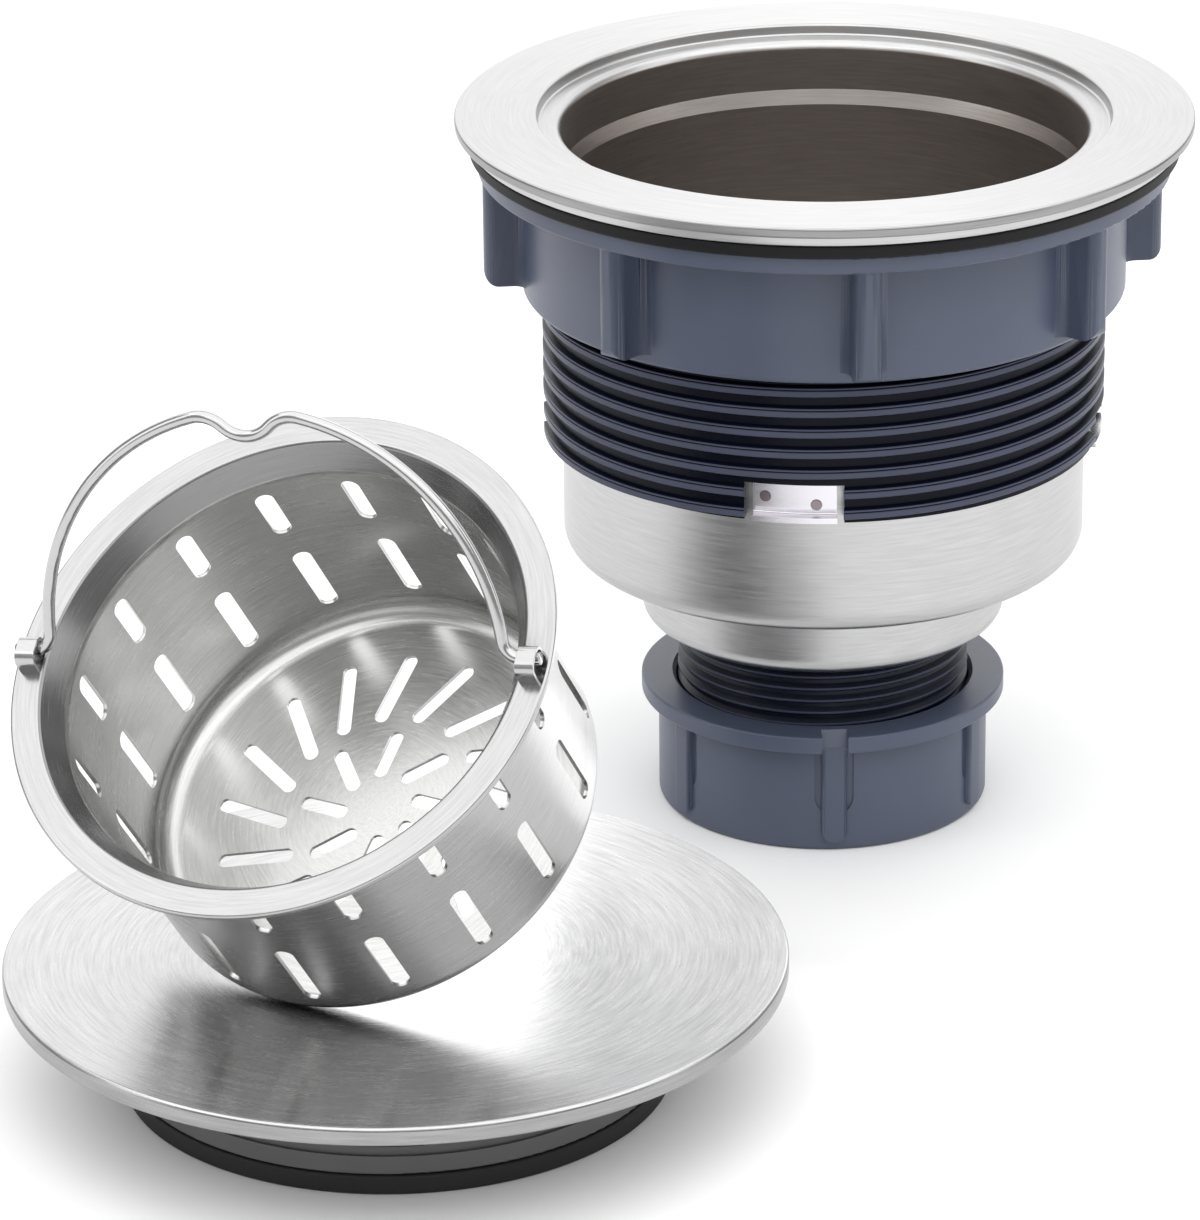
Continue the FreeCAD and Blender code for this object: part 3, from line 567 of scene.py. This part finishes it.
def brushed_steel(name, axis_frame=WASTE_FRAME, tint="c8c8c8", roughness=0.3, line_mm=0.35,
                  length_share=5.0, contrast=0.12, depth=0.02, anisotropic=0.6, edge_radius=56.0,
                  shade_bands=(), weld_tint=None):
    """Austenitic stainless steel, brushed on a lathe: grey metal with fine rings that follow the turning.

    The real lines are about 0.05 mm apart, too fine for the render, so they are drawn coarser. Bands
    can have their own tints, which paint shade and light onto rims and insides, and weld spots can be
    marked.
    """
    material, tree, shader = new_material(name)
    radius, angle, height, out = polar_parts(tree, axis_frame)
    lines = brush_lines(tree, radius, height, out, line_mm, length_share, edge_radius)
    colour = linear(tint)
    for shade_band in shade_bands:
        colour = painted_shade_band(tree, radius, height, colour, *shade_band)
    if weld_tint:
        colour = blend(tree, weld_spots(tree, angle, height), colour, linear(weld_tint))
    shade = spread(tree, lines, (1 - contrast, 1 + contrast / 2), BRUSH_NOISE_SPAN)
    tree.links.new(scale_colour(tree, colour, shade), shader.inputs["Base Color"])
    roughen(tree, shader, lines, roughness, STEEL_ROUGH_SPREAD, STEEL_BUMP, depth)
    set_inputs(shader, metallic=1.0, anisotropic=anisotropic)
    if anisotropic:
        tangent = add_node(tree, "ShaderNodeTangent", {"direction_type": "RADIAL", "axis": "Z"})
        tree.links.new(tangent.outputs["Tangent"], shader.inputs["Tangent"])
    return material


def moulded_plastic(name, colour, roughness, grain_mm, depth, specular=0.5, crest_highlight_colour=None,
                    crest_radius=0.0):
    """Injection-moulded plastic or rubber: even colour, a soft sheen and a faint orange-peel surface.

    A threaded piece can have a lighter colour from a radius outwards: a painted highlight on its crests.
    """
    material, tree, shader = new_material(name)
    place = add_node(tree, "ShaderNodeTexCoord").outputs["Object"]
    grain = add_node(tree, "ShaderNodeTexNoise", inputs={"Scale": 1 / (grain_mm * MM), "Detail": 2.0},
                     links={"Vector": place})
    clouds = add_node(tree, "ShaderNodeTexNoise", inputs={"Scale": 1 / (CLOUD_SIZE * MM), "Detail": 2.0},
                      links={"Vector": place})
    base = linear(colour)
    if crest_highlight_colour:
        radius, *_ = polar_parts(tree)
        crest = calculate(tree, "GREATER_THAN", radius, crest_radius)
        base = blend(tree, crest, base, linear(crest_highlight_colour))
    shade = spread(tree, clouds.outputs["Fac"], CLOUD_SHADES)
    tree.links.new(scale_colour(tree, base, shade), shader.inputs["Base Color"])
    roughen(tree, shader, grain.outputs["Fac"], roughness, PLASTIC_ROUGH_SPREAD, PLASTIC_BUMP, depth)
    set_inputs(shader, ior=1.49, specular=specular)
    return material


def make_materials():
    """All materials of the pieces. The plastics' grain and depth are in millimetres."""
    return {
        # Shade bands of bowl, lid and cup are painted shade and light: darker rims and tinted insides
        "bowl": brushed_steel("drawn_stainless_bowl", tint="bebebe", shade_bands=BOWL_SHADE_BANDS),
        "lid": brushed_steel("spun_stainless_lid", LID_FRAME, tint="c0c0c0", roughness=0.25,
                             line_mm=0.45, contrast=0.2, shade_bands=LID_SHADE_BANDS),
        "cup": brushed_steel("pressed_stainless_basket", BASKET_FRAME, tint="b2b2b2", roughness=0.24,
                             anisotropic=0.0, depth=0.012, edge_radius=38.5, shade_bands=CUP_SHADE_BANDS),
        "tab": brushed_steel("strip_stainless", tint="e0dee4", roughness=0.24, anisotropic=0.0,
                             contrast=0.05, weld_tint="8a8084"),
        "ear": brushed_steel("folded_stainless", tint="b6b6b6", roughness=0.2, anisotropic=0.0,
                             contrast=0.05),
        "wire": brushed_steel("drawn_wire_stainless", tint="b8b8b8", roughness=0.16, anisotropic=0.0,
                              contrast=0.04, depth=0.005),
        "slate": moulded_plastic("moulded_slate_polypropylene", "4a5164", roughness=0.36,
                                 grain_mm=0.5, depth=0.02),
        # Lighter crest colours of the sleeve and nipple are painted highlights on the thread crests
        "sleeve": moulded_plastic("moulded_navy_sleeve", "080c18", roughness=0.32, grain_mm=0.5,
                                  depth=0.01, specular=0.12, crest_highlight_colour="484c5c",
                                  crest_radius=SLEEVE_CREST - SLEEVE_HIGHLIGHT_DEPTH),
        "nipple": moulded_plastic("moulded_navy_nipple", "0e1220", roughness=0.32, grain_mm=0.5,
                                  depth=0.01, specular=0.2, crest_highlight_colour="343a4c",
                                  crest_radius=NIPPLE_CREST - NIPPLE_HIGHLIGHT_DEPTH),
        "grey": moulded_plastic("moulded_grey_polypropylene", "5c5c5c", roughness=0.5, grain_mm=0.4,
                                depth=0.02),
        "white": moulded_plastic("moulded_white_polyethylene", "e6e4de", roughness=0.4, grain_mm=0.5,
                                 depth=0.02),
        "rubber": moulded_plastic("nitrile_rubber", "121212", roughness=0.55, grain_mm=0.3,
                                  depth=0.03, specular=0.25),
        "seal": moulded_plastic("nitrile_rubber_seal", "262626", roughness=0.6, grain_mm=0.3,
                                depth=0.03, specular=0.3),
    }


# Waste

def screw_thread(name, profile, crest, pitch, bore, foot, top):
    """A threaded tube: one turn of the thread's profile is screwed up the tube, cut off flat at both
    ends, and its two rims are drawn inwards and bridged to make the bore."""
    depth = profile[0][0]
    points = [Vector((crest - depth, foot - pitch))]
    for below, rise in profile:
        points.append(Vector((crest - below, points[-1].y + rise * pitch)))
    piece = draw_path(name, points)
    close_mesh()
    screw = piece.modifiers.new("screw", "SCREW")
    screw.screw_offset = pitch * MM
    screw.iterations = math.ceil((top - foot) / pitch) + THREAD_SPARE_TURNS
    screw.steps = THREAD_STEPS
    screw.render_steps = THREAD_STEPS
    screw.use_merge_vertices = True
    screw.merge_threshold = THREAD_MERGE
    apply_modifiers(piece)
    open_mesh(piece)
    bpy.ops.mesh.remove_doubles(threshold=THREAD_MERGE)
    bpy.ops.mesh.bisect(plane_co=(0, 0, foot * MM), plane_no=(0, 0, 1), clear_inner=True)
    bpy.ops.mesh.select_all(action="SELECT")
    bpy.ops.mesh.bisect(plane_co=(0, 0, top * MM), plane_no=(0, 0, 1), clear_outer=True)
    bpy.ops.mesh.select_all(action="DESELECT")
    bpy.ops.mesh.select_non_manifold(extend=False, use_boundary=True)
    inward = bore / (crest - depth / 2)
    bpy.ops.mesh.extrude_region_move(TRANSFORM_OT_translate={"value": (0, 0, 0)})
    bpy.ops.transform.resize(value=(inward, inward, 1), center_override=(0, 0, 0))
    bpy.ops.mesh.bridge_edge_loops()
    close_mesh()
    recalculate_normals(piece)
    return piece


def cut_notches(piece):
    """Cuts the notches at the sleeve's foot with upright boxes that stand across the radius."""
    half_angle = NOTCH_WIDTH / SLEEVE_CREST / 2
    outer = SLEEVE_CREST + NOTCH_MARGIN
    for number in range(NOTCH_COUNT):
        azimuth = math.radians(NOTCH_AZIMUTH + number * 360 / NOTCH_COUNT)
        deselect_all()
        bpy.ops.mesh.primitive_cube_add(size=MM)
        box = bpy.context.object
        box.scale = (2 * outer * math.tan(half_angle), NOTCH_REACH, NOTCH_HEIGHT + NOTCH_MARGIN)
        out = Vector((math.sin(azimuth), -math.cos(azimuth), 0))
        level = SLEEVE_FOOT + (NOTCH_HEIGHT - NOTCH_MARGIN) / 2
        box.location = out * (outer - NOTCH_REACH / 2) * MM + Vector((0, 0, level * MM))
        box.rotation_euler = (0, 0, azimuth)
        settle(box)
        cut_away(piece, box)


def finish_thread(piece, material, node_name):
    smooth_by_angle(piece, SHARP_ANGLE_THREAD)
    weight_normals(piece)
    finish_piece(piece, material, ROOT, node_name)


def build_waste(looks):
    turn_again("strainer_bowl", looks["bowl"], ROOT, WASTE_FRAME)
    for number in range(1, NOTCH_COUNT + 1):
        dress(f"stop_tab_{number}", looks["tab"], ROOT, WASTE_FRAME)
    sleeve = screw_thread("sleeve_thread", SLEEVE_PROFILE, SLEEVE_CREST, SLEEVE_PITCH, SLEEVE_BORE,
                          SLEEVE_FOOT, SLEEVE_TOP)
    cut_notches(sleeve)
    finish_thread(sleeve, looks["sleeve"], "threaded_sleeve")
    nipple = screw_thread("nipple_thread", NIPPLE_PROFILE, NIPPLE_CREST, NIPPLE_PITCH, NIPPLE_BORE,
                          NIPPLE_FOOT, NIPPLE_TOP)
    finish_thread(nipple, looks["nipple"], "outlet_nipple")
    turn_again("outlet_seal", looks["rubber"], ROOT, WASTE_FRAME)
    turn_again("slip_washer", looks["white"], "slip_washer", WASTE_FRAME)
    dress("coupling_nut", looks["slate"], "coupling_nut", WASTE_FRAME)
    turn_again("sink_gasket", looks["rubber"], "gasket", WASTE_FRAME)
    dress("lock_nut", looks["slate"], "lock_nut", WASTE_FRAME)


# Lid

def build_lid(looks):
    turn_again("lid_plate", looks["lid"], ROOT, LID_FRAME)
    dress("lid_holder_ring", looks["grey"], ROOT, LID_FRAME)
    turn_again("lid_seal_ring", looks["seal"], ROOT, LID_FRAME)
    dress("lid_nut", looks["ear"], ROOT)


# Basket

def slot_cutters(count, width, length, turn):
    """A ring of full-round slot cutters: one is shaped and placed, then turned about the Z axis.

    The cutter is drawn along X, standing on its round outline in the plane of X and Y; turn is the
    matrix that brings it to its place in the basket's own frame.
    """
    deselect_all()
    bpy.ops.mesh.primitive_cylinder_add(vertices=CUTTER_SIDES, radius=width / 2 * MM,
                                        depth=CUTTER_THICKNESS * MM)
    cutter = bpy.context.object
    make_active(cutter)
    bpy.ops.object.mode_set(mode="EDIT")
    bpy.ops.mesh.select_all(action="DESELECT")
    close_mesh()
    for vertex in cutter.data.vertices:
        vertex.select = vertex.co.x > CUTTER_HALF_LIMIT
    bpy.ops.object.mode_set(mode="EDIT")
    straight = length - width
    bpy.ops.transform.translate(value=(straight * MM, 0, 0))
    bpy.ops.mesh.select_all(action="SELECT")
    bpy.ops.transform.translate(value=(-straight / 2 * MM, 0, 0))
    close_mesh()
    cutter.matrix_world = turn
    settle(cutter)
    open_mesh(cutter)
    bpy.ops.mesh.spin(steps=count - 1, angle=FULL_TURN * (count - 1) / count, dupli=True,
                      center=(0, 0, 0), axis=(0, 0, 1))
    close_mesh()
    return cutter


def wall_cutters():
    """Two rows of upright slots in the basket's wall."""
    rings = []
    for top, length in WALL_SLOT_ROWS:
        place = Vector((CUP_WALL * math.cos(WALL_SLOT_ANGLE), CUP_WALL * math.sin(WALL_SLOT_ANGLE),
                        -top - length / 2)) * MM
        turn = (Matrix.Translation(place) @ Matrix.Rotation(WALL_SLOT_ANGLE, 4, "Z")
                @ Matrix.Rotation(math.pi / 2, 4, "Y"))
        rings.append(slot_cutters(WALL_SLOT_COUNT, WALL_SLOT_WIDTH, length, turn))
    return rings


def floor_cutters():
    """Two swirled rings of slots in the basket's floor."""
    rings = []
    for count, degrees, start, end, swirl in FLOOR_SLOT_RINGS:
        angle, inner_angle = math.radians(degrees), math.radians(degrees + swirl)
        outer = Vector((math.cos(angle), math.sin(angle), 0)) * start
        inner = Vector((math.cos(inner_angle), math.sin(inner_angle), 0)) * end
        along = outer - inner
        place = ((outer + inner) / 2 + Vector((0, 0, CUP_FLOOR))) * MM
        turn = Matrix.Translation(place) @ Matrix.Rotation(math.atan2(along.y, along.x), 4, "Z")
        rings.append(slot_cutters(count, FLOOR_SLOT_WIDTH, along.length + FLOOR_SLOT_WIDTH, turn))
    return rings


def build_cup(material):
    """The basket's cup: its profile turned in even steps, its slots cut, then leaned like the node."""
    piece = draw_path("slotted_cup", rounded_profile(CUP_PROFILE))
    turn_profile((0, 0, 0))
    recalculate_normals(piece)
    for ring in wall_cutters() + floor_cutters():
        recalculate_normals(ring)
        cut_away(piece, ring)
    piece.matrix_world = BASKET_FRAME
    settle(piece)
    smooth_by_angle(piece)
    turn_normals(piece, BASKET_FRAME, SHARP_ANGLE_CUP)
    finish_piece(piece, material, ROOT, "basket_cup")


def ear_arch(low, high, inset):
    """One side of the strip over the wire, from foot to foot, inside its outer face by the inset."""
    top = EAR_HEIGHT - inset
    return rounded_profile([
        (low + inset, EAR_FOOT, 0),
        (low + EAR_LEAN + inset, top, EAR_ROUND - inset),
        (high - EAR_LEAN - inset, top, EAR_ROUND - inset),
        (high - inset, EAR_FOOT, 0),
    ])


def build_ear(name, material):
    """A folded strip over one end of the wire: its outline drawn, filled, drawn out in its width, and
    broken at its edges."""
    angle, inner_face, width, low, high = EARS[name]
    piece = draw_path(f"folded_{name}", ear_arch(low, high, 0) + ear_arch(low, high, EAR_STRIP)[::-1])
    bpy.ops.mesh.select_all(action="SELECT")
    bpy.ops.transform.translate(value=(0, -inner_face * MM, 0))
    bpy.ops.mesh.edge_face_add()
    bpy.ops.mesh.extrude_region_move(TRANSFORM_OT_translate={"value": (0, -width * MM, 0)})
    close_mesh()
    recalculate_normals(piece)
    edge = piece.modifiers.new("edge", "BEVEL")
    edge.width = EAR_EDGE_ROUND * MM
    edge.segments = EAR_EDGE_SEGMENTS
    edge.limit_method = "ANGLE"
    edge.angle_limit = EAR_EDGE_ANGLE
    apply_modifiers(piece)
    piece.matrix_world = BASKET_FRAME @ Matrix.Rotation(math.radians(angle + 90), 4, "Z")
    settle(piece)
    smooth_by_angle(piece)
    weight_normals(piece)
    finish_piece(piece, material, ROOT, name)


def build_basket(looks):
    build_cup(looks["cup"])
    for name in EARS:
        build_ear(name, looks["ear"])
    dress("bail_handle", looks["wire"], "bail")


# Studio

def build_floor():
    deselect_all()
    bpy.ops.mesh.primitive_plane_add(size=FLOOR_SIZE, location=(0, 0, FLOOR_LEVEL))
    floor = bpy.context.object
    floor.name = "floor"
    material, _, shader = new_material("white_paper_sweep")
    set_inputs(shader, colour=linear("f4f4f4"), roughness=0.9, specular=0.2)
    floor.data.materials.append(material)


def build_camera():
    right = Vector((1, 0, 0))
    forward = Vector((0, math.cos(CAMERA_PITCH), -math.sin(CAMERA_PITCH)))
    up = right.cross(forward)
    roll_right = right * math.cos(CAMERA_ROLL) + up * math.sin(CAMERA_ROLL)
    roll_up = up * math.cos(CAMERA_ROLL) - right * math.sin(CAMERA_ROLL)
    lens = bpy.data.cameras.new("photo_camera")
    lens.sensor_fit = "VERTICAL"
    lens.sensor_height = SENSOR
    lens.lens = FOCAL_PIXELS * SENSOR / PHOTO_HEIGHT
    lens.clip_start = CLIP_NEAR
    lens.clip_end = CLIP_FAR
    camera = bpy.data.objects.new("photo_camera", lens)
    bpy.context.scene.collection.objects.link(camera)
    rows = Matrix((roll_right, roll_up, -forward)).transposed()
    camera.matrix_world = Matrix.Translation(CAMERA_AT * MM) @ rows.to_4x4()
    bpy.context.scene.camera = camera


def add_soft_light(name, place, target, width, height, radiance):
    """Rectangular soft box that faces a point and is as bright as the given radiance."""
    data = bpy.data.lights.new(name, "AREA")
    data.shape = "RECTANGLE"
    data.size = width
    data.size_y = height
    data.energy = radiance * math.pi * width * height
    lamp = bpy.data.objects.new(name, data)
    bpy.context.scene.collection.objects.link(lamp)
    lamp.location = place
    lamp.rotation_euler = (Vector(target) - Vector(place)).to_track_quat("-Z", "Y").to_euler()
    lamp.visible_camera = False


def build_light():
    world = bpy.data.worlds.new("studio")
    bpy.context.scene.world = world
    world.use_nodes = True
    background = world.node_tree.nodes["Background"]
    background.inputs["Color"].default_value = (1, 1, 1, 1)
    background.inputs["Strength"].default_value = WORLD_STRENGTH
    for name, (place, width, height, radiance) in SOFT_BOXES.items():
        add_soft_light(name, place, LIGHT_MIDDLE, width, height, radiance)
    add_soft_light("lid_card", CARD_AT, CARD_AT + CARD_FACING, CARD_WIDTH, CARD_HEIGHT, CARD_RADIANCE)
    view = bpy.context.scene.view_settings
    view.view_transform = "Standard"
    view.look = "None"


build_floor()
build_camera()
build_light()
looks = make_materials()
build_waste(looks)
build_lid(looks)
build_basket(looks)
